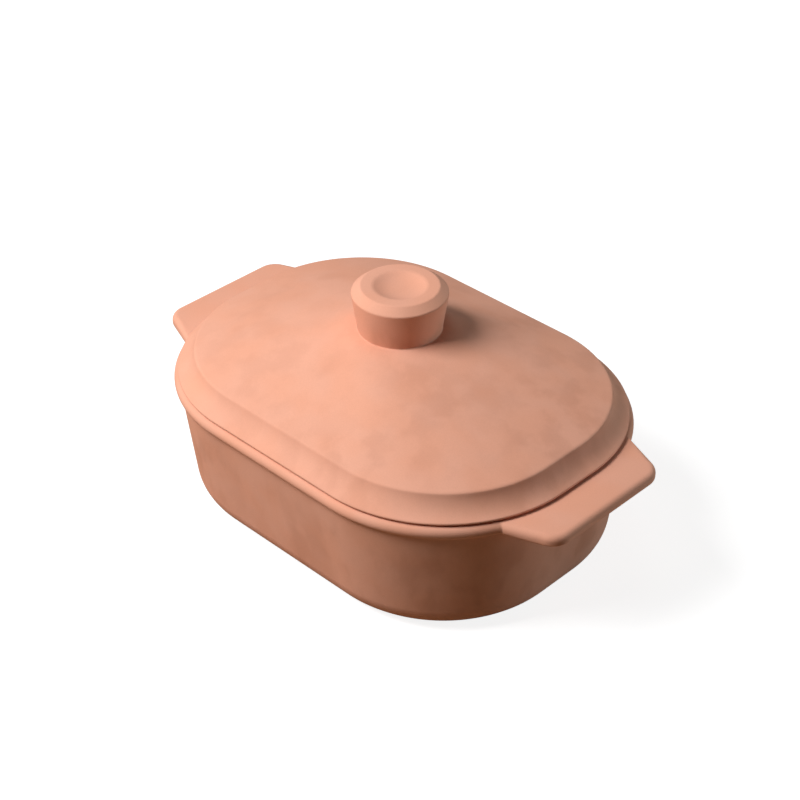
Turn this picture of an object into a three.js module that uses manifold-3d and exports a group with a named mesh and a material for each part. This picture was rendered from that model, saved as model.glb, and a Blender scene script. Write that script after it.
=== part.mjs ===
// Bread loaf baker in unglazed terracotta: an oblong dish with two lug handles, a sloped lid that lifts
// off, and a round knob that is thrown by itself and stuck to the lid with slip before firing.
// Millimetres, +Z up. The origin is the centre of the underside, and +X runs along the dish to a handle.

import * as THREE from "three";
import { mergeVertices } from "three/addons/utils/BufferGeometryUtils.js";
import Module from "manifold-3d";

// Plan of the dish, over the outside of its rim.
const rimLength = 299.4;
const rimWidth = 226.2;
const rimCornerRadius = 98;

// Dish: a drafted wall on a flat base, with a half-round rim that stands out past the wall.
const dishHeight = 89.5;
const rimHeight = 10;
const rimOverhang = 3.4;
const wallThickness = 9;
const floorThickness = 10;
const wallDraftDegrees = 6.4;
const footRound = 20;
const innerFootRound = 14;
const rimLipRound = 2;

// Handles: flat lugs that grow out of the rim at both ends.
const handleReach = 22.5;
const handleEdgeWidth = 93.2;
const handleFlareDegrees = 21;
const handleCornerRadius = 13;
const handleThickness = 7.4;
const handleDrop = 0.3;
const handleEdgeFlat = 1.6;

// Lid: a flange that seats on the rim, a cove up to a sharp arris, and straight slopes up to a round crown.
const lidSetback = 2.3;
const lidEndSetback = 0.5;
const flangeLift = 0.7;
const flangeUnderRound = 0.8;
const flangeEdgeFlat = 0.1;
const flangeTopRound = 1;
const coveFootDegrees = 26;
const arrisInset = 11.3;
const arrisHeight = 15.5;
const arrisRound = 1.2;
const crownRise = 29;
const crownRadius = 29.5;
const lidThickness = 9;
const innerShoulderRound = 9;
const skirtDepth = 7;
const skirtThickness = 6.5;
const skirtClearance = 1.5;
const skirtEdgeRound = 2;
const ventRadius = 3;

// Knob: a hollow cone that is wider at the top, with a chamfer and a round dish for the finger.
const knobHeight = 29.6;
const knobNeckRadius = 26.6;
const knobFootFillet = 0.6;
const knobFootLip = 0.4;
const knobRadius = 30.3;
const knobChamferWidth = 5.7;
const knobChamferHeight = 4.6;
const knobEdgeRound = 1.2;
const fingerDishRadius = 17.3;
const fingerDishDepth = 3.3;
const knobCoreRadius = 12;
const knobCoreDepth = 14;

// Gap left where one piece seats on another.
const seatGap = 0.3;

// Facets: steps on each corner of the plan, on each arc of a section, on the slopes and round the knob.
const cornerSteps = 10;
const arcSteps = 3;
const slopeSteps = 3;
const knobSteps = 40;
const ventSteps = 16;

// A cutter runs this far past what it cuts, and points closer than the weld distance are one point.
const cutMargin = 4;
const weldDistance = 1e-4;

const rimRadius = rimHeight / 2;
const wallTopRadius = rimCornerRadius - rimOverhang;
const mouthRadius = wallTopRadius - wallThickness;
const draft = Math.tan(THREE.MathUtils.degToRad(wallDraftDegrees));
const cornerX = rimLength / 2 - rimCornerRadius;
const cornerY = rimWidth / 2 - rimCornerRadius;

const terracotta = new THREE.MeshStandardMaterial({ color: 0xd99a7b, roughness: 0.92, metalness: 0 });

const wasm = await Module();
wasm.setup();

// A ring of the oblong plan. Its corner arcs have the radius given, about the corner centres of the plan,
// which are endX along from the middle. Spread brings those centres in to the axis, until at 0 the ring is
// a circle.
function ringPoints({ radius, z, spread }, endX) {
  const points = [];
  for (let quarter = 0; quarter < 4; quarter++) {
    const centreX = spread * endX * (quarter === 0 || quarter === 3 ? 1 : -1);
    const centreY = spread * cornerY * (quarter < 2 ? 1 : -1);
    for (let step = 0; step <= cornerSteps; step++) {
      const angle = ((quarter + step / cornerSteps) * Math.PI) / 2;
      points.push([centreX + radius * Math.cos(angle), centreY + radius * Math.sin(angle), z]);
    }
  }
  return points;
}

// The rings of a section that is drawn as a path of radius and height.
function ringsAlong(path) {
  return path.getPoints(arcSteps).map((point) => ({ radius: point.x, z: point.y, spread: 1 }));
}

function mixRings(from, to, share) {
  const mix = (key) => THREE.MathUtils.lerp(from[key], to[key], share);
  return { radius: mix("radius"), z: mix("z"), spread: mix("spread") };
}

// Rings that round the corner between two straight runs of rings.
function bendRings(from, corner, to) {
  const rings = [];
  for (let step = 0; step <= arcSteps; step++) {
    const share = step / arcSteps;
    rings.push(mixRings(mixRings(from, corner, share), mixRings(corner, to, share), share));
  }
  return rings;
}

// A slope of rings up to a crown, with its lower edge rounded into the section below it.
function slopeRings(below, edge, crown, round) {
  const slopeRun = Math.hypot(edge.radius - crown.radius, crown.z - edge.z);
  const onSlope = mixRings(edge, crown, round / slopeRun);
  const rings = bendRings(below, edge, onSlope);
  for (let step = 1; step <= slopeSteps; step++) rings.push(mixRings(onSlope, crown, step / slopeSteps));
  return rings;
}

// Closes a stack of rings with a fan at each end, lowest ring first.
function loft(rings, endX) {
  const stack = rings.map((ring) => ringPoints(ring, endX));
  const count = stack[0].length;
  const positions = stack.flat(2);
  const bottom = stack.length * count;
  const top = bottom + 1;
  positions.push(0, 0, rings[0].z, 0, 0, rings.at(-1).z);
  const triangles = [];
  for (let i = 0; i < count; i++) {
    const next = (i + 1) % count;
    triangles.push(bottom, next, i);
    triangles.push(top, bottom - count + i, bottom - count + next);
    for (let level = 0; level + 1 < stack.length; level++) {
      const low = level * count;
      const high = low + count;
      triangles.push(low + i, low + next, high + next, low + i, high + next, high + i);
    }
  }
  const geometry = new THREE.BufferGeometry();
  geometry.setAttribute("position", new THREE.Float32BufferAttribute(positions, 3));
  geometry.setIndex(triangles);
  return geometry;
}

// A closed geometry as a solid to cut and join, without the slivers where a ring's points meet.
function solid(geometry) {
  const bare = geometry.clone();
  bare.deleteAttribute("normal");
  bare.deleteAttribute("uv");
  const merged = mergeVertices(bare, weldDistance);
  const corners = merged.index.array;
  const triVerts = [];
  for (let i = 0; i < corners.length; i += 3) {
    const [a, b, c] = corners.slice(i, i + 3);
    if (a !== b && b !== c && c !== a) triVerts.push(a, b, c);
  }
  const skin = new wasm.Mesh({
    numProp: 3,
    vertProperties: merged.attributes.position.array,
    triVerts: new Uint32Array(triVerts),
  });
  return new wasm.Manifold(skin);
}

function meshOf(name, shape) {
  const { vertProperties, triVerts } = shape.getMesh();
  const geometry = new THREE.BufferGeometry();
  geometry.setAttribute("position", new THREE.BufferAttribute(vertProperties, 3));
  geometry.setIndex(new THREE.BufferAttribute(triVerts, 1));
  geometry.computeVertexNormals();
  const mesh = new THREE.Mesh(geometry, terracotta);
  mesh.name = name;
  return mesh;
}

// The outside of the dish, from the flat base round the foot and up the wall to the top of the rim.
function dishOutside() {
  const beadZ = dishHeight - rimRadius;
  const beadX = rimCornerRadius - rimRadius;
  const underBead = Math.asin((wallTopRadius - beadX) / rimRadius);
  const wallTopZ = beadZ - rimRadius * Math.cos(underBead);
  const lean = Math.atan(draft);
  const wallAt = (z) => wallTopRadius - (wallTopZ - z) * draft;
  const footZ = footRound * (1 - Math.sin(lean));
  const footX = wallAt(footZ) - footRound * Math.cos(lean);
  const section = new THREE.Path();
  section.moveTo(footX, 0);
  section.absarc(footX, footRound, footRound, -Math.PI / 2, -lean, false);
  section.lineTo(wallTopRadius, wallTopZ);
  section.absarc(beadX, beadZ, rimRadius, underBead - Math.PI / 2, Math.PI / 2, false);
  return loft(ringsAlong(section), cornerX);
}

// The space inside the dish, from its floor up past the rounded lip of the mouth.
function dishInside() {
  const lean = Math.atan(draft);
  const lipZ = dishHeight - rimLipRound;
  const wallAt = (z) => mouthRadius - (lipZ - z) * draft;
  const footZ = floorThickness + innerFootRound * (1 - Math.sin(lean));
  const footX = wallAt(footZ) - innerFootRound * Math.cos(lean);
  const section = new THREE.Path();
  section.moveTo(footX, floorThickness);
  section.absarc(footX, floorThickness + innerFootRound, innerFootRound, -Math.PI / 2, -lean, false);
  section.lineTo(mouthRadius, lipZ);
  section.absarc(mouthRadius + rimLipRound, lipZ, rimLipRound, Math.PI, Math.PI / 2, true);
  section.lineTo(mouthRadius + rimLipRound, dishHeight + cutMargin);
  return loft(ringsAlong(section), cornerX);
}

// One lug, drawn in plan at the +X end. Its root runs in under the rim, where the mouth cuts it off.
function handleLug() {
  const flare = THREE.MathUtils.degToRad(handleFlareDegrees);
  const tip = rimLength / 2 + handleReach;
  const root = cornerX;
  const half = handleEdgeWidth / 2;
  const rootHalf = half + (tip - root) * Math.tan(flare);
  const cut = handleCornerRadius * Math.tan((Math.PI / 2 - flare) / 2);
  const edgeRound = (handleThickness - handleEdgeFlat) / 2;
  const centreX = tip - handleCornerRadius;
  const centreY = half - cut;
  const plan = new THREE.Shape();
  plan.moveTo(root, rootHalf);
  plan.lineTo(root, -rootHalf);
  plan.absarc(centreX, -centreY, handleCornerRadius, flare - Math.PI / 2, 0, false);
  plan.absarc(centreX, centreY, handleCornerRadius, 0, Math.PI / 2 - flare, false);
  const lug = new THREE.ExtrudeGeometry(plan, {
    depth: handleEdgeFlat,
    bevelThickness: edgeRound,
    bevelSize: edgeRound,
    bevelOffset: -edgeRound,
    bevelSegments: arcSteps,
    curveSegments: 2 * arcSteps,
  });
  return lug.translate(0, 0, dishHeight - handleDrop - handleThickness + edgeRound);
}

function bakingDish() {
  const lug = handleLug();
  const otherLug = lug.clone().rotateZ(Math.PI);
  const body = solid(dishOutside()).add(solid(lug)).add(solid(otherLug));
  return meshOf("baking_dish", body.subtract(solid(dishInside())));
}

// The lid's own frame has its origin on the seat, under the flange. Its ends are set back a little more
// than its sides.
const lidCornerX = cornerX - lidEndSetback;
const lidRadius = rimCornerRadius - lidSetback;
const arrisRadius = lidRadius - arrisInset;
const skirtRadius = mouthRadius - skirtClearance;
const lidBoreRadius = skirtRadius - skirtThickness;
const crownHeight = arrisHeight + crownRise;

// The outside of the lid: up the skirt, out under the flange, which lifts off the rim towards its edge, then
// round the edge, up the cove and the slopes. The cove is one arc, which leaves the flange's edge at the tilt
// given and runs up through the arris. It stops a little short of its top, to leave room for the rounding.
function lidOutside() {
  const underX = lidRadius - flangeUnderRound;
  const topX = lidRadius - flangeTopRound;
  const underZ = flangeLift + flangeUnderRound;
  const topArcZ = underZ + flangeEdgeFlat;
  const coveFoot = THREE.MathUtils.degToRad(coveFootDegrees);
  const across = new THREE.Vector2(Math.sin(coveFoot), Math.cos(coveFoot));
  const foot = new THREE.Vector2(topX, topArcZ).addScaledVector(across, flangeTopRound);
  const chord = new THREE.Vector2(arrisRadius, arrisHeight).sub(foot);
  const coveRadius = chord.lengthSq() / (2 * chord.dot(across));
  const coveCentre = foot.clone().addScaledVector(across, coveRadius);
  const coveTop = Math.atan2(arrisHeight - coveCentre.y, arrisRadius - coveCentre.x) + arrisRound / coveRadius;
  const skirtFoot = skirtRadius - skirtDepth * draft - skirtEdgeRound;
  const section = new THREE.Path();
  section.moveTo(skirtFoot, -skirtDepth);
  section.absarc(skirtFoot, skirtEdgeRound - skirtDepth, skirtEdgeRound, -Math.PI / 2, 0, false);
  section.lineTo(skirtRadius, 0);
  section.absarc(underX, underZ, flangeUnderRound, -Math.PI / 2, 0, false);
  section.absarc(topX, topArcZ, flangeTopRound, 0, Math.PI / 2 - coveFoot, false);
  section.absarc(coveCentre.x, coveCentre.y, coveRadius, -Math.PI / 2 - coveFoot, coveTop, true);
  const rings = ringsAlong(section);
  const arris = { radius: arrisRadius, z: arrisHeight, spread: 1 };
  const crown = { radius: crownRadius, z: crownHeight, spread: 0 };
  return loft(rings.concat(slopeRings(rings.at(-1), arris, crown, arrisRound)), lidCornerX);
}

// The hollow under the lid, from below the skirt up to the underside of the crown.
function lidInside() {
  const low = { radius: lidBoreRadius, z: -skirtDepth - cutMargin, spread: 1 };
  const edge = { radius: lidBoreRadius, z: arrisHeight - lidThickness, spread: 1 };
  const below = { radius: lidBoreRadius, z: edge.z - innerShoulderRound, spread: 1 };
  const crown = { radius: crownRadius, z: crownHeight - lidThickness, spread: 0 };
  return loft([low, ...slopeRings(below, edge, crown, innerShoulderRound)], lidCornerX);
}

// The vent lets air out of the hollow knob in the kiln.
function vent() {
  const length = lidThickness + 2 * cutMargin;
  const hole = new THREE.CylinderGeometry(ventRadius, ventRadius, length, ventSteps);
  return hole.rotateX(Math.PI / 2).translate(0, 0, crownHeight - lidThickness / 2);
}

function lid() {
  return meshOf("lid", solid(lidOutside()).subtract(solid(lidInside())).subtract(solid(vent())));
}

// The knob's section runs from the top of its hollow core, under the foot, up the side and over the top.
function lidKnob() {
  const chamferFoot = knobHeight - knobChamferHeight;
  const topRadius = knobRadius - knobChamferWidth;
  const footRadius = knobNeckRadius + knobFootFillet;
  const filletTop = knobFootLip + knobFootFillet;
  const bowlRadius = (fingerDishRadius ** 2 + fingerDishDepth ** 2) / (2 * fingerDishDepth);
  const bowlAngle = Math.asin(fingerDishRadius / bowlRadius);
  const bowlZ = knobHeight - fingerDishDepth + bowlRadius;
  const section = new THREE.Path();
  section.moveTo(0, knobCoreDepth);
  section.lineTo(knobCoreRadius, knobCoreDepth);
  section.lineTo(knobCoreRadius, 0);
  section.lineTo(footRadius, 0);
  section.lineTo(footRadius, knobFootLip);
  section.absarc(footRadius, filletTop, knobFootFillet, -Math.PI / 2, -Math.PI, true);
  section.lineTo(knobRadius, chamferFoot - knobEdgeRound);
  section.quadraticCurveTo(knobRadius, chamferFoot, knobRadius - knobEdgeRound, chamferFoot + knobEdgeRound);
  section.lineTo(topRadius, knobHeight);
  section.lineTo(fingerDishRadius, knobHeight);
  section.absarc(0, bowlZ, bowlRadius, bowlAngle - Math.PI / 2, -Math.PI / 2, true);
  const turned = new THREE.LatheGeometry(section.getPoints(arcSteps), knobSteps).rotateX(Math.PI / 2);
  return meshOf("lid_knob", solid(turned));
}

const knob = lidKnob();
knob.position.z = crownHeight + seatGap;

const liddedTop = new THREE.Group();
liddedTop.add(lid(), knob);
liddedTop.position.z = dishHeight + seatGap;

const baker = new THREE.Group();
baker.name = "bread_loaf_baker";
baker.add(bakingDish(), liddedTop);

export default baker;
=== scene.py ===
# Bread loaf baker in bare terracotta: an oblong dish with two lug handles, a sloped lid and a round knob.
# Metres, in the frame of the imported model: +X runs along the dish to a handle, and the origin is under it.

import math

import bmesh
import bpy
from mathutils import Matrix, Vector


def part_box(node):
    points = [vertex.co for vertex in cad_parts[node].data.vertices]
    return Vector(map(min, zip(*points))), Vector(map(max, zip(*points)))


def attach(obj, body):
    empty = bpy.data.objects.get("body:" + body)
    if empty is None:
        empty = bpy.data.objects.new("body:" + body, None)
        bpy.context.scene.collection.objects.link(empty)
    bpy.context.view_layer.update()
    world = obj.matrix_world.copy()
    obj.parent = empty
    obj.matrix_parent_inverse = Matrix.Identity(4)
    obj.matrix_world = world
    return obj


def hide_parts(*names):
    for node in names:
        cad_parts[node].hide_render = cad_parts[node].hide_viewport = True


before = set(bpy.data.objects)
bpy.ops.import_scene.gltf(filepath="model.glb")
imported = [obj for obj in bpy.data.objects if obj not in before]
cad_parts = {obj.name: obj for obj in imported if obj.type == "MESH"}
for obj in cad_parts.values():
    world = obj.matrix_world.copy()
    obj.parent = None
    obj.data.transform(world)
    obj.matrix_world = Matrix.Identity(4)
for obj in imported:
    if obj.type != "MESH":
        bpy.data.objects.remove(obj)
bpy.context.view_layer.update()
mm = 0.001


# Camera: a long lens at the near corner of the dish, looking down on it from about 35 degrees, so that
# one long side, one end and the whole of the lid show.
camera_turn = math.radians(44.385)
camera_rise = math.radians(35.433)
camera_distance = 1189 * mm
camera_aim = Vector((-6.36, 6.52, 71.32)) * mm
camera_lens = 83.09
camera_sensor = 36


def direction(turn, rise):
    """The way to a place that is turned about Z from the long side at -Y, and raised from level."""
    return Vector((
        math.sin(turn) * math.cos(rise),
        -math.cos(turn) * math.cos(rise),
        math.sin(rise),
    ))


camera_data = bpy.data.cameras.new("camera")
camera_data.lens = camera_lens
camera_data.sensor_width = camera_sensor
camera = bpy.data.objects.new("camera", camera_data)
camera.location = camera_aim + camera_distance * direction(camera_turn, camera_rise)
camera.rotation_euler = (math.pi / 2 - camera_rise, 0, camera_turn)
bpy.context.collection.objects.link(camera)
bpy.context.scene.camera = camera
bpy.context.scene.view_settings.view_transform = "Standard"


# Floor and studio: a plain pale floor that fades to white, one large soft lamp from the left of the camera,
# a weak one from the right, a faint one overhead, and a dim warm room. The camera sees the room as white.
floor_size = 4000 * mm
floor_gap = 0.1 * mm
floor_pale = (0.4, 0.4, 0.4, 1)
floor_lift = 0.86
fade_start = 450 * mm
fade_end = 1400 * mm
floor_bounce = (0.3, 0.21, 0.135, 1)
room_light = (1.0, 0.76, 0.52, 1)
room_strength = 0.008
room_seen = (1, 1, 1, 1)

floor_mesh = bmesh.new()
bmesh.ops.create_grid(floor_mesh, x_segments=1, y_segments=1, size=floor_size / 2)
bmesh.ops.translate(floor_mesh, verts=floor_mesh.verts, vec=(0, 0, -floor_gap))
floor_data = bpy.data.meshes.new("floor")
floor_mesh.to_mesh(floor_data)
floor_mesh.free()
floor = bpy.data.objects.new("floor", floor_data)
bpy.context.collection.objects.link(floor)

# The camera sees the paper with a glow that grows with the distance from the baker. Other rays meet its
# plain warm face, so the glow puts no light on the baker.
paper = bpy.data.materials.new("pale_paper")
paper.use_nodes = True
nodes = paper.node_tree.nodes
links = paper.node_tree.links
nodes.clear()
paper_out = nodes.new("ShaderNodeOutputMaterial")
paper_choice = nodes.new("ShaderNodeMixShader")
paper_rays = nodes.new("ShaderNodeLightPath")
paper_seen = nodes.new("ShaderNodeAddShader")
paper_face = nodes.new("ShaderNodeBsdfDiffuse")
paper_face.inputs["Color"].default_value = floor_pale
paper_place = nodes.new("ShaderNodeTexCoord")
paper_reach = nodes.new("ShaderNodeVectorMath")
paper_reach.operation = "LENGTH"
paper_lift = nodes.new("ShaderNodeMapRange")
paper_lift.inputs["From Min"].default_value = fade_start
paper_lift.inputs["From Max"].default_value = fade_end
paper_lift.inputs["To Min"].default_value = floor_lift
paper_glow = nodes.new("ShaderNodeEmission")
paper_bounce = nodes.new("ShaderNodeBsdfDiffuse")
paper_bounce.inputs["Color"].default_value = floor_bounce
links.new(paper_place.outputs["Object"], paper_reach.inputs["Vector"])
links.new(paper_reach.outputs["Value"], paper_lift.inputs["Value"])
links.new(paper_lift.outputs["Result"], paper_glow.inputs["Strength"])
links.new(paper_face.outputs["BSDF"], paper_seen.inputs[0])
links.new(paper_glow.outputs["Emission"], paper_seen.inputs[1])
links.new(paper_rays.outputs["Is Camera Ray"], paper_choice.inputs["Fac"])
links.new(paper_bounce.outputs["BSDF"], paper_choice.inputs[1])
links.new(paper_seen.outputs["Shader"], paper_choice.inputs[2])
links.new(paper_choice.outputs["Shader"], paper_out.inputs["Surface"])
floor_data.materials.append(paper)

room = bpy.data.worlds.new("studio")
room.use_nodes = True
bpy.context.scene.world = room
nodes = room.node_tree.nodes
links = room.node_tree.links
nodes.clear()
room_out = nodes.new("ShaderNodeOutputWorld")
room_choice = nodes.new("ShaderNodeMixShader")
room_rays = nodes.new("ShaderNodeLightPath")
room_dim = nodes.new("ShaderNodeBackground")
room_dim.inputs["Color"].default_value = room_light
room_dim.inputs["Strength"].default_value = room_strength
room_white = nodes.new("ShaderNodeBackground")
room_white.inputs["Color"].default_value = room_seen
links.new(room_rays.outputs["Is Camera Ray"], room_choice.inputs["Fac"])
links.new(room_dim.outputs["Background"], room_choice.inputs[1])
links.new(room_white.outputs["Background"], room_choice.inputs[2])
links.new(room_choice.outputs["Shader"], room_out.inputs["Surface"])


def soft_lamp(name, turn, rise, distance, size, power, colour):
    """Hangs a square soft lamp that faces the baker, at a turn and a rise in degrees."""
    lamp_data = bpy.data.lights.new(name, "AREA")
    lamp_data.size = size
    lamp_data.energy = power
    lamp_data.color = colour
    lamp = bpy.data.objects.new(name, lamp_data)
    to_lamp = direction(math.radians(turn), math.radians(rise))
    lamp.location = camera_aim + distance * to_lamp
    lamp.rotation_euler = to_lamp.to_track_quat("Z", "Y").to_euler()
    bpy.context.collection.objects.link(lamp)


white = (1, 1, 1)
cool_white = (0.84, 0.97, 1)
soft_lamp("key_lamp", turn=-30, rise=49.5, distance=1.4, size=0.68, power=23.4, colour=white)
soft_lamp("side_lamp", turn=145, rise=3, distance=2, size=0.3, power=14.5, colour=cool_white)
soft_lamp("top_lamp", turn=0, rise=90, distance=1.5, size=0.6, power=1.5, colour=white)


# Baking dish: one piece of pressed terracotta. The wall leans out from a flat base to a half-round rim,
# and a flat lug is drawn out of the rim at each end, with its top almost level with the rim's.
dish_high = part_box("baking_dish")[1]
dish_height = dish_high.z
handle_tip = dish_high.x
rim_length = 299.4 * mm
rim_corner_radius = 98 * mm
corner_x = rim_length / 2 - rim_corner_radius
corner_y = dish_high.y - rim_corner_radius
rim_radius = 4.5 * mm
rim_overhang = 3.4 * mm
wall_thickness = 9 * mm
wall_lean = math.radians(6.4)
floor_thickness = 10 * mm
foot_round = 20 * mm
inner_foot_round = 14 * mm
lip_round = 2 * mm
flat_margin = 5 * mm
handle_angle = math.radians(26.9)
handle_half_edge = 46.6 * mm
handle_flare = math.radians(21)
handle_corner = 14 * mm
handle_thickness = 7.4 * mm
handle_drop = 0.3 * mm
handle_top_round = 3.9 * mm
handle_under_round = 1.8 * mm
weld = 0.001 * mm

# Mesh steps along a quarter of the plan, and the number of them that make half a handle's straight edge.
end_steps = 3
handle_steps = 11
corner_steps = 28
side_steps = 6
handle_edge_steps = 5

# Each draw takes a handle this share of the way that is left to its outer edge.
handle_draws = (0.06, 0.94, 1)


def pick(parts, kind):
    """The parts of one kind, such as the edges, among those that an operator gives."""
    return [part for part in parts if isinstance(part, kind)]


def run_to(mesh, tip, x, z):
    """Draws a section on from its tip in a straight run, and gives the new tip."""
    tip = bmesh.ops.extrude_vert_indiv(mesh, verts=[tip])["verts"][0]
    tip.co = (x, tip.co.y, z)
    return tip


def turn_about(mesh, tip, x, z, degrees, steps):
    """Draws a section on from its tip in an arc about a centre, and gives the new tip."""
    spun = bmesh.ops.spin(
        mesh,
        geom=[tip],
        cent=(x, tip.co.y, z),
        axis=(0, -1, 0),
        angle=math.radians(degrees),
        steps=steps,
    )
    return pick(spun["geom_last"], bmesh.types.BMVert)[0]


def spin_corner(mesh, section, corner, turn, steps):
    """Spins a section about the upright axis of a corner of the plan, and gives its last copy."""
    spun = bmesh.ops.spin(mesh, geom=section, cent=corner, axis=(0, 0, 1), angle=turn, steps=steps)
    return spun["geom_last"]


def reach_middle(mesh, section, axis, steps):
    """Carries an open end of the quarter on to the middle plane across the axis."""
    edges = pick(section, bmesh.types.BMEdge)
    for left in range(steps - 1, -1, -1):
        grown = bmesh.ops.extrude_edge_only(mesh, edges=edges)["geom"]
        edges = pick(grown, bmesh.types.BMEdge)
        shrink = Vector((1, 1, 1))
        shrink[axis] = left / (left + 1)
        bmesh.ops.scale(mesh, verts=pick(grown, bmesh.types.BMVert), vec=shrink)


def mirror_quarter(mesh):
    """Makes the whole piece of its quarter, and closes the seams."""
    for axis in "XY":
        whole = mesh.verts[:] + mesh.edges[:] + mesh.faces[:]
        bmesh.ops.mirror(mesh, geom=whole, matrix=Matrix(), merge_dist=weld, axis=axis)
    bmesh.ops.remove_doubles(mesh, verts=mesh.verts, dist=weld)
    bmesh.ops.dissolve_degenerate(mesh, edges=mesh.edges, dist=weld)


def finish_piece(name, mesh, body, node, material):
    """Turns the faces outwards, and makes a smooth piece of the mesh, in place of its CAD node."""
    bmesh.ops.recalc_face_normals(mesh, faces=mesh.faces)
    for face in mesh.faces:
        face.smooth = True
    data = bpy.data.meshes.new(name)
    mesh.to_mesh(data)
    mesh.free()
    data.materials.append(material)
    piece = bpy.data.objects.new(name, data)
    bpy.context.collection.objects.link(piece)
    piece.modifiers.new("even_shading", "WEIGHTED_NORMAL")
    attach(piece, body)
    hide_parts(node)


wall_radius = rim_corner_radius - rim_overhang
mouth_radius = wall_radius - wall_thickness
bead_x = rim_corner_radius - rim_radius
bead_z = dish_height - rim_radius
under_bead = math.asin((wall_radius - bead_x) / rim_radius)
wall_top = bead_z - rim_radius * math.cos(under_bead)
foot_z = foot_round * (1 - math.sin(wall_lean))
foot_x = wall_radius - (wall_top - foot_z) * math.tan(wall_lean) - foot_round * math.cos(wall_lean)
lip_z = dish_height - lip_round
inner_foot_z = floor_thickness + inner_foot_round * (1 - math.sin(wall_lean))
inner_wall = mouth_radius - (lip_z - inner_foot_z) * math.tan(wall_lean)
inner_foot_x = inner_wall - inner_foot_round * math.cos(wall_lean)
foot_turn = 90 - math.degrees(wall_lean)

# The section runs from the base out round the foot, up the wall, over the rim and down the inside.
dish = bmesh.new()
tip = dish.verts.new((foot_x - flat_margin, 0, 0))
tip = run_to(dish, tip, foot_x, 0)
tip = turn_about(dish, tip, foot_x, foot_round, foot_turn, steps=12)
tip = run_to(dish, tip, wall_radius, wall_top)
tip = turn_about(dish, tip, bead_x, bead_z, 180 - math.degrees(under_bead), steps=14)
tip = run_to(dish, tip, mouth_radius + lip_round, dish_height)
tip = turn_about(dish, tip, mouth_radius + lip_round, lip_z, 90, steps=4)
tip = run_to(dish, tip, inner_wall, inner_foot_z)
tip = turn_about(dish, tip, inner_foot_x, floor_thickness + inner_foot_round, -foot_turn, steps=8)
run_to(dish, tip, inner_foot_x - flat_margin, floor_thickness)
dish_corner = Vector((corner_x, corner_y, 0))
bmesh.ops.translate(dish, verts=dish.verts, vec=dish_corner)

section = dish.verts[:] + dish.edges[:]
handle_end = spin_corner(dish, section, dish_corner, handle_angle, handle_steps)
side_end = spin_corner(dish, handle_end, dish_corner, math.pi / 2 - handle_angle, corner_steps)
reach_middle(dish, section, axis=1, steps=end_steps)
reach_middle(dish, side_end, axis=0, steps=side_steps)
mirror_quarter(dish)
bmesh.ops.holes_fill(dish, edges=[edge for edge in dish.edges if edge.is_boundary], sides=0)

handle_top = dish_height - handle_drop
handle_bottom = handle_top - handle_thickness
handle_corner_turn = math.pi / 2 - handle_flare
handle_corner_x = handle_tip - handle_corner
handle_corner_y = handle_half_edge - handle_corner * math.tan(handle_corner_turn / 2)


def plan_angle(place):
    """The angle of a place round the nearest corner of the plan, counted from the middle of an end."""
    return math.atan2(max(abs(place.y) - corner_y, 0), abs(place.x) - corner_x)


def plan_radius(place):
    """How far a place lies from the axis of the nearest corner, or from the line between two of them."""
    return math.hypot(max(abs(place.y) - corner_y, 0), abs(place.x) - corner_x)


def is_handle_root(face):
    """Tells whether a face of the rim is one that a handle is drawn out of."""
    place = face.calc_center_median()
    on_end = abs(place.x) > corner_x and plan_angle(place) < handle_angle
    on_bead = wall_top < place.z < handle_top and plan_radius(place) > wall_radius
    return on_end and on_bead


def level(vert):
    """The height of a vertex as a whole number, the same for all of one row along the rim."""
    return round(vert.co.z / weld)


def handle_edge(place, row, rows):
    """Where a place in a row of the rim, counted from the lowest, comes to lie on the handle's edge."""
    arc_rows = rows // 2
    if row < arc_rows:
        lean = (row / (arc_rows - 1) - 1) * math.pi / 2
        inset = handle_under_round * (1 - math.cos(lean))
        z = handle_bottom + handle_under_round * (1 + math.sin(lean))
    else:
        lean = (row - arc_rows) / (rows - arc_rows - 1) * math.pi / 2
        inset = handle_top_round * (1 - math.cos(lean))
        z = handle_top - handle_top_round * (1 - math.sin(lean))
    # Counted from the middle of the end, the first steps make the straight edge and the rest its corner.
    straight_step = end_steps * min(abs(place.y) / corner_y, 1)
    step = straight_step + handle_steps * plan_angle(place) / handle_angle
    along = min(step / handle_edge_steps, 1)
    round_share = max(step - handle_edge_steps, 0) / (end_steps + handle_steps - handle_edge_steps)
    turn = round_share * handle_corner_turn
    x = handle_corner_x + (handle_corner - inset) * math.cos(turn)
    y = along * handle_corner_y + (handle_corner - inset) * math.sin(turn)
    return Vector((math.copysign(x, place.x), math.copysign(y, place.y), z))


goal = dish.verts.layers.float_vector.new("goal")
drawn = [face for face in dish.faces if is_handle_root(face)]
root = {vert for face in drawn for vert in face.verts}
levels = sorted({level(vert) for vert in root})
for vert in root:
    vert[goal] = handle_edge(vert.co, levels.index(level(vert)), len(levels))
for share in handle_draws:
    grown = bmesh.ops.extrude_face_region(dish, geom=drawn)["geom"]
    drawn = pick(grown, bmesh.types.BMFace)
    for vert in {vert for face in drawn for vert in face.verts}:
        vert.co = vert.co.lerp(vert[goal], share)
dish.verts.layers.float_vector.remove(goal)


# The look of bare fired clay: soft clouds and dabs of smoke from the kiln, drawn out a little downwards, and
# a fine grain. The smoke colour also paints shade where a piece lays its smoke on more thickly on a side
# that the lamps light less.
body_colour = (0.79, 0.386, 0.264, 1)
smoke_and_shade_colour = (0.56, 0.245, 0.155, 1)
drawn_scale = (1, 1, 0.55)
cloud_share = 0.25
grain_share = 0.6
ripple_share = 0.4
specular_level = 0.25
bump_strength = 0.2
bump_height = 0.2 * mm


def add_socket(group, name, kind, way="INPUT"):
    """Gives a node group a socket."""
    group.interface.new_socket(name=name, in_out=way, socket_type=kind)


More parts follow.
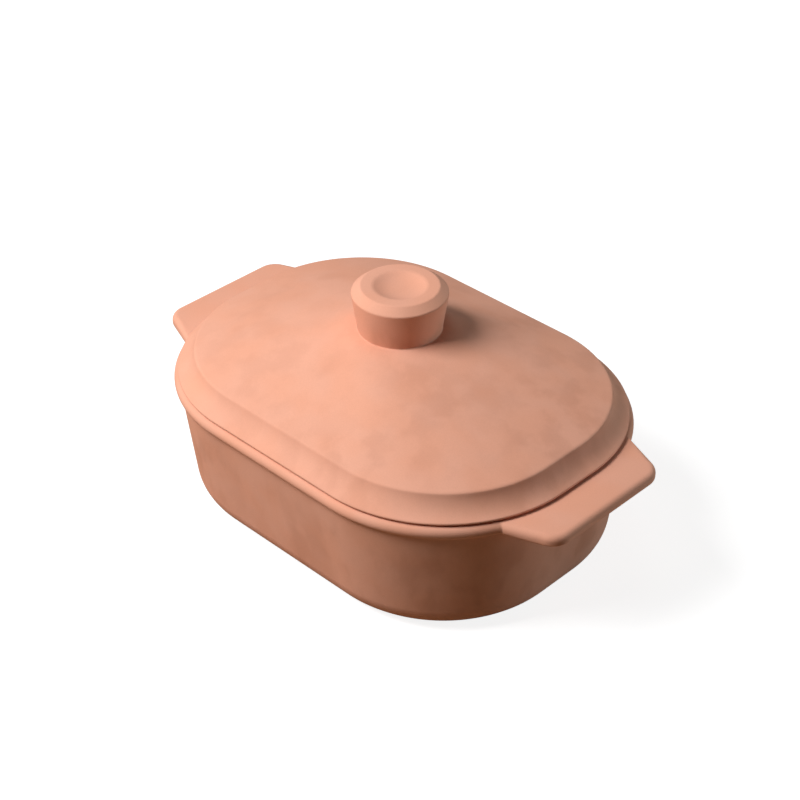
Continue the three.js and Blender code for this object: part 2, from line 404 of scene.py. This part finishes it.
clay = bpy.data.node_groups.new("fired_clay", "ShaderNodeTree")
add_socket(clay, "Place", "NodeSocketVector")
add_socket(clay, "Body Colour", "NodeSocketColor")
add_socket(clay, "Smoke And Shade Colour", "NodeSocketColor")
add_socket(clay, "Smoke And Shade Amount", "NodeSocketFloat")
add_socket(clay, "Colour", "NodeSocketColor", "OUTPUT")
add_socket(clay, "Roughness", "NodeSocketFloat", "OUTPUT")
add_socket(clay, "Relief", "NodeSocketFloat", "OUTPUT")
nodes = clay.nodes
links = clay.links
clay_in = nodes.new("NodeGroupInput")
clay_out = nodes.new("NodeGroupOutput")


def clay_noise(place, scale, detail, roughness):
    """A noise on the clay, with its scale in features to the metre."""
    noise = nodes.new("ShaderNodeTexNoise")
    noise.inputs["Scale"].default_value = scale
    noise.inputs["Detail"].default_value = detail
    noise.inputs["Roughness"].default_value = roughness
    links.new(place, noise.inputs["Vector"])
    return noise.outputs["Fac"]


def clay_range(value, low, high, to_low, to_high):
    """Fits a value smoothly from one range to another."""
    fit = nodes.new("ShaderNodeMapRange")
    fit.interpolation_type = "SMOOTHSTEP"
    fit.inputs["From Min"].default_value = low
    fit.inputs["From Max"].default_value = high
    fit.inputs["To Min"].default_value = to_low
    fit.inputs["To Max"].default_value = to_high
    links.new(value, fit.inputs["Value"])
    return fit.outputs["Result"]


def clay_math(operation, first, second):
    """Joins two values, of which the second may be a plain number."""
    step = nodes.new("ShaderNodeMath")
    step.operation = operation
    links.new(first, step.inputs[0])
    if isinstance(second, float):
        step.inputs[1].default_value = second
    else:
        links.new(second, step.inputs[1])
    return step.outputs["Value"]


clay_place = clay_in.outputs["Place"]
drawn_down = nodes.new("ShaderNodeMapping")
drawn_down.inputs["Scale"].default_value = drawn_scale
links.new(clay_place, drawn_down.inputs["Vector"])
cloud_noise = clay_noise(clay_place, scale=16, detail=2, roughness=0.5)
dab_noise = clay_noise(drawn_down.outputs["Vector"], scale=54, detail=2.8, roughness=0.52)
grain = clay_noise(clay_place, scale=1300, detail=3, roughness=0.7)
ripple = clay_noise(clay_place, scale=260, detail=2, roughness=0.5)
tint = clay_noise(clay_place, scale=38, detail=1.5, roughness=0.5)

clouds = clay_range(cloud_noise, low=0.36, high=0.64, to_low=0, to_high=1)
dabs = clay_range(dab_noise, low=0.39, high=0.64, to_low=0, to_high=1)
dab_share = clay_range(clouds, low=0, high=1, to_low=0.3, to_high=0.8)
smoke_and_shade = clay_math("MULTIPLY", dabs, dab_share)
smoke_and_shade = clay_math("ADD", smoke_and_shade, clay_math("MULTIPLY", clouds, cloud_share))
smoke_and_shade = clay_math("MULTIPLY", smoke_and_shade, clay_in.outputs["Smoke And Shade Amount"])
smoked_and_shaded = nodes.new("ShaderNodeMix")
smoked_and_shaded.data_type = "RGBA"
links.new(smoke_and_shade, smoked_and_shaded.inputs["Factor"])
links.new(clay_in.outputs["Body Colour"], smoked_and_shaded.inputs["A"])
links.new(clay_in.outputs["Smoke And Shade Colour"], smoked_and_shaded.inputs["B"])

saturation = clay_range(tint, low=0.3, high=0.7, to_low=0.98, to_high=1.02)
brightness = clay_range(grain, low=0.25, high=0.75, to_low=0.97, to_high=1.03)
grained = nodes.new("ShaderNodeHueSaturation")
links.new(smoked_and_shaded.outputs["Result"], grained.inputs["Color"])
links.new(saturation, grained.inputs["Saturation"])
links.new(brightness, grained.inputs["Value"])
links.new(grained.outputs["Color"], clay_out.inputs["Colour"])

clay_roughness = clay_range(clouds, low=0, high=1, to_low=0.95, to_high=0.86)
links.new(clay_roughness, clay_out.inputs["Roughness"])
grain_relief = clay_math("MULTIPLY", grain, grain_share)
ripple_relief = clay_math("MULTIPLY", ripple, ripple_share)
links.new(clay_math("ADD", grain_relief, ripple_relief), clay_out.inputs["Relief"])


def clay_material(name, shift, axis, reach, amounts):
    """Bare terracotta: a shift of its own lays the smoke differently on each piece, and the smoke goes from
    the first amount to the second over a reach along an axis. Where the amount grows towards a piece's
    shaded side, the extra smoke is painted shade."""
    material = bpy.data.materials.new(name)
    material.use_nodes = True
    tree = material.node_tree
    shader = tree.nodes["Principled BSDF"]
    shader.inputs["Specular IOR Level"].default_value = specular_level
    place = tree.nodes.new("ShaderNodeTexCoord")
    moved = tree.nodes.new("ShaderNodeMapping")
    moved.inputs["Location"].default_value = shift
    along = tree.nodes.new("ShaderNodeSeparateXYZ")
    amount = tree.nodes.new("ShaderNodeMapRange")
    amount.inputs["From Min"].default_value = reach[0]
    amount.inputs["From Max"].default_value = reach[1]
    amount.inputs["To Min"].default_value = amounts[0]
    amount.inputs["To Max"].default_value = amounts[1]
    look = tree.nodes.new("ShaderNodeGroup")
    look.node_tree = clay
    look.inputs["Body Colour"].default_value = body_colour
    look.inputs["Smoke And Shade Colour"].default_value = smoke_and_shade_colour
    bump = tree.nodes.new("ShaderNodeBump")
    bump.inputs["Strength"].default_value = bump_strength
    bump.inputs["Distance"].default_value = bump_height
    tree.links.new(place.outputs["Object"], moved.inputs["Vector"])
    tree.links.new(moved.outputs["Vector"], look.inputs["Place"])
    tree.links.new(place.outputs["Object"], along.inputs["Vector"])
    tree.links.new(along.outputs[axis], amount.inputs["Value"])
    tree.links.new(amount.outputs["Result"], look.inputs["Smoke And Shade Amount"])
    tree.links.new(look.outputs["Colour"], shader.inputs["Base Color"])
    tree.links.new(look.outputs["Roughness"], shader.inputs["Roughness"])
    tree.links.new(look.outputs["Relief"], bump.inputs["Height"])
    tree.links.new(bump.outputs["Normal"], shader.inputs["Normal"])
    return material


# Thick smoke mottling on the wall and thin on the rim and handles: painted shade on the wall's sides, laid
# over its kiln smoke.
dish_clay = clay_material(
    "dish_terracotta", shift=(0, 0, 0), axis="Z", reach=(60 * mm, 84 * mm), amounts=(0.45, 0.06)
)
finish_piece("clay_dish", dish, "dish", "baking_dish", dish_clay)


# Lid: one pressed piece of the same clay. A skirt under it drops inside the mouth, a flange seats on the
# rim, and a cove runs up to a crisp arris, from which straight slopes rise to a round crown.
lid_low, lid_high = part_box("lid")
lid_foot = lid_low.z
crown = lid_high.z
skirt_depth = 7 * mm
skirt_clearance = 1.5 * mm
skirt_thickness = 6.5 * mm
skirt_round = 2 * mm
lid_setback = 2.3 * mm
lid_end_setback = 0.5 * mm
flange_lift = 0.7 * mm
flange_under_round = 0.8 * mm
flange_edge_flat = 0.1 * mm
flange_top_round = 1 * mm
cove_foot_tilt = 26
arris_inset = 11.3 * mm
arris_height = 15.5 * mm
arris_round = 1.2 * mm
lid_thickness = 9 * mm
shoulder_round = 9 * mm
crown_radius = 29.5 * mm
vent_radius = 3 * mm
lid_corner_steps = 40

seat = lid_foot + skirt_depth
flange_under = seat + flange_lift
arris = seat + arris_height
crown_rise = crown - arris
lid_corner = Vector((corner_x - lid_end_setback, corner_y, 0))
lid_radius = rim_corner_radius - lid_setback
arris_radius = lid_radius - arris_inset
skirt_radius = mouth_radius - skirt_clearance
bore_radius = skirt_radius - skirt_thickness


def round_off(mesh, vert, size, steps):
    """Rounds a corner of a section."""
    bmesh.ops.bevel(
        mesh, geom=[vert], offset=size, segments=steps, profile=0.5, affect="VERTICES", material=-1
    )


def slope_to(mesh, tip, x, z, steps):
    """Draws a section on from its tip in a straight run of equal lengths, and gives the new tip."""
    start = tip.co.copy()
    for step in range(1, steps + 1):
        place = start.lerp((x, start.y, z), step / steps)
        tip = run_to(mesh, tip, place.x, place.z)
    return tip


def draw_in(verts, foot):
    """Draws the rings of a slope in towards the axis, evenly, until the crown is a circle."""
    for vert in verts:
        share = min(max((vert.co.z - foot) / crown_rise, 0), 1)
        vert.co -= share * lid_corner


def spin_slope(mesh, section, foot):
    """Spins a section of the lid round a corner, draws its slope in, and carries it on to the middles."""
    verts = pick(section, bmesh.types.BMVert)
    known = set(mesh.verts) - set(verts)
    bmesh.ops.translate(mesh, verts=verts, vec=lid_corner)
    end = spin_corner(mesh, section, lid_corner, math.pi / 2, lid_corner_steps)
    draw_in([vert for vert in mesh.verts if vert not in known], foot)
    reach_middle(mesh, section, axis=1, steps=end_steps)
    reach_middle(mesh, end, axis=0, steps=side_steps)


# The cove is the arc that leaves the flange's edge at the tilt and ends at the arris.
flange_foot = flange_under + flange_under_round
flange_edge = Vector((lid_radius - flange_top_round, 0, flange_foot + flange_edge_flat))
across_cove = Vector((math.sin(math.radians(cove_foot_tilt)), 0, math.cos(math.radians(cove_foot_tilt))))
cove_foot = flange_edge + flange_top_round * across_cove
cove_chord = Vector((arris_radius, 0, arris)) - cove_foot
cove_radius = cove_chord.length_squared / (2 * cove_chord.dot(across_cove))
cove_centre = cove_foot + cove_radius * across_cove
cove_turn = 2 * math.degrees(math.asin(cove_chord.length / (2 * cove_radius)))

# The outer section runs from the vent down the slope, the cove and the flange's edge, and round the skirt.
lid = bmesh.new()
tip = lid.verts.new((vent_radius, 0, crown))
tip = run_to(lid, tip, crown_radius, crown)
arris_tip = slope_to(lid, tip, arris_radius, arris, steps=12)
tip = turn_about(lid, arris_tip, cove_centre.x, cove_centre.z, cove_turn, steps=14)
tip = turn_about(lid, tip, flange_edge.x, flange_edge.z, cove_foot_tilt - 90, steps=4)
tip = run_to(lid, tip, lid_radius, flange_foot)
tip = turn_about(lid, tip, lid_radius - flange_under_round, flange_foot, -90, steps=4)
skirt_top = run_to(lid, tip, skirt_radius, seat)
skirt_edge = run_to(lid, skirt_top, skirt_radius - skirt_depth * math.tan(wall_lean), lid_foot)
bore_edge = run_to(lid, skirt_edge, bore_radius, lid_foot)
run_to(lid, bore_edge, bore_radius, seat)
round_off(lid, arris_tip, arris_round, steps=4)
for edge_tip in (skirt_top, skirt_edge, bore_edge):
    round_off(lid, edge_tip, skirt_round, steps=3)
spin_slope(lid, lid.verts[:] + lid.edges[:], arris)

# The inner section runs on from the skirt, up the bore and the slope, and through the vent.
outside = set(lid.verts)
tip = lid.verts.new((bore_radius, 0, seat))
shoulder = run_to(lid, tip, bore_radius, arris - lid_thickness)
tip = slope_to(lid, shoulder, crown_radius, crown - lid_thickness, steps=10)
tip = run_to(lid, tip, vent_radius, crown - lid_thickness)
run_to(lid, tip, vent_radius, crown)
round_off(lid, shoulder, shoulder_round, steps=5)
inside = [vert for vert in lid.verts if vert not in outside]
inside_edges = [edge for edge in lid.edges if edge.verts[0] not in outside]
spin_slope(lid, inside + inside_edges, arris - lid_thickness)
mirror_quarter(lid)
lid_clay = clay_material(
    "lid_terracotta", shift=(0.3, 0.1, 0.2), axis="X", reach=(-120 * mm, 120 * mm), amounts=(0.16, 0.38)
)
finish_piece("clay_lid", lid, "lid", "lid", lid_clay)


# Knob: a round grip that is turned by itself and stuck to the crown with slip before firing. It widens to a
# chamfered top with a shallow dish for the finger, and is hollow so that it dries and fires evenly.
knob_base = crown
knob_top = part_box("lid_knob")[1].z
neck_radius = 26.6 * mm
foot_fillet = 0.6 * mm
foot_fillet_turn = 75
foot_sink = 1.2 * mm
knob_radius = 30.3 * mm
chamfer_width = 5.7 * mm
chamfer_height = 4.6 * mm
knob_edge_round = 0.8 * mm
finger_radius = 17 * mm
finger_depth = 3.3 * mm
finger_curve = 2.6
finger_steps = 14
finger_edge_round = 1.3 * mm
core_radius = 12 * mm
core_depth = 14 * mm
knob_steps = 96

fillet_x = neck_radius + foot_fillet
fillet_z = knob_base + foot_fillet * math.sin(math.radians(foot_fillet_turn))

# The section runs from the middle of the finger dish over the top and down the side. Its foot sinks a little
# into the crown, where slip closes the joint, and it ends up in the core.
knob = bmesh.new()
finger_edge = knob.verts.new((0, 0, knob_top - finger_depth))
for step in range(1, finger_steps + 1):
    share = step / finger_steps
    finger_z = knob_top - finger_depth * (1 - share**finger_curve)
    finger_edge = run_to(knob, finger_edge, share * finger_radius, finger_z)
chamfer_top = run_to(knob, finger_edge, knob_radius - chamfer_width, knob_top)
chamfer_foot = run_to(knob, chamfer_top, knob_radius, knob_top - chamfer_height)
tip = slope_to(knob, chamfer_foot, neck_radius, fillet_z, steps=4)
tip = turn_about(knob, tip, fillet_x, fillet_z, foot_fillet_turn, steps=6)
tip = run_to(knob, tip, tip.co.x + foot_sink, tip.co.z - foot_sink)
tip = run_to(knob, tip, core_radius, knob_base - foot_sink)
tip = run_to(knob, tip, core_radius, knob_base + core_depth)
run_to(knob, tip, 0, knob_base + core_depth)
round_off(knob, finger_edge, finger_edge_round, steps=3)
for edge_tip in (chamfer_top, chamfer_foot):
    round_off(knob, edge_tip, knob_edge_round, steps=3)
bmesh.ops.spin(
    knob,
    geom=knob.verts[:] + knob.edges[:],
    cent=(0, 0, 0),
    axis=(0, 0, 1),
    angle=2 * math.pi,
    steps=knob_steps,
    use_merge=True,
)
bmesh.ops.remove_doubles(knob, verts=knob.verts, dist=weld)
# Thick smoke mottling at the foot that fades to none at the top: painted shade on the knob's side, which the
# lamps light less than its top.
knob_clay = clay_material(
    "knob_terracotta", shift=(0.1, 0.4, 0.3), axis="Z", reach=(knob_base, knob_top), amounts=(0.6, 0)
)
finish_piece("clay_knob", knob, "lid", "lid_knob", knob_clay)
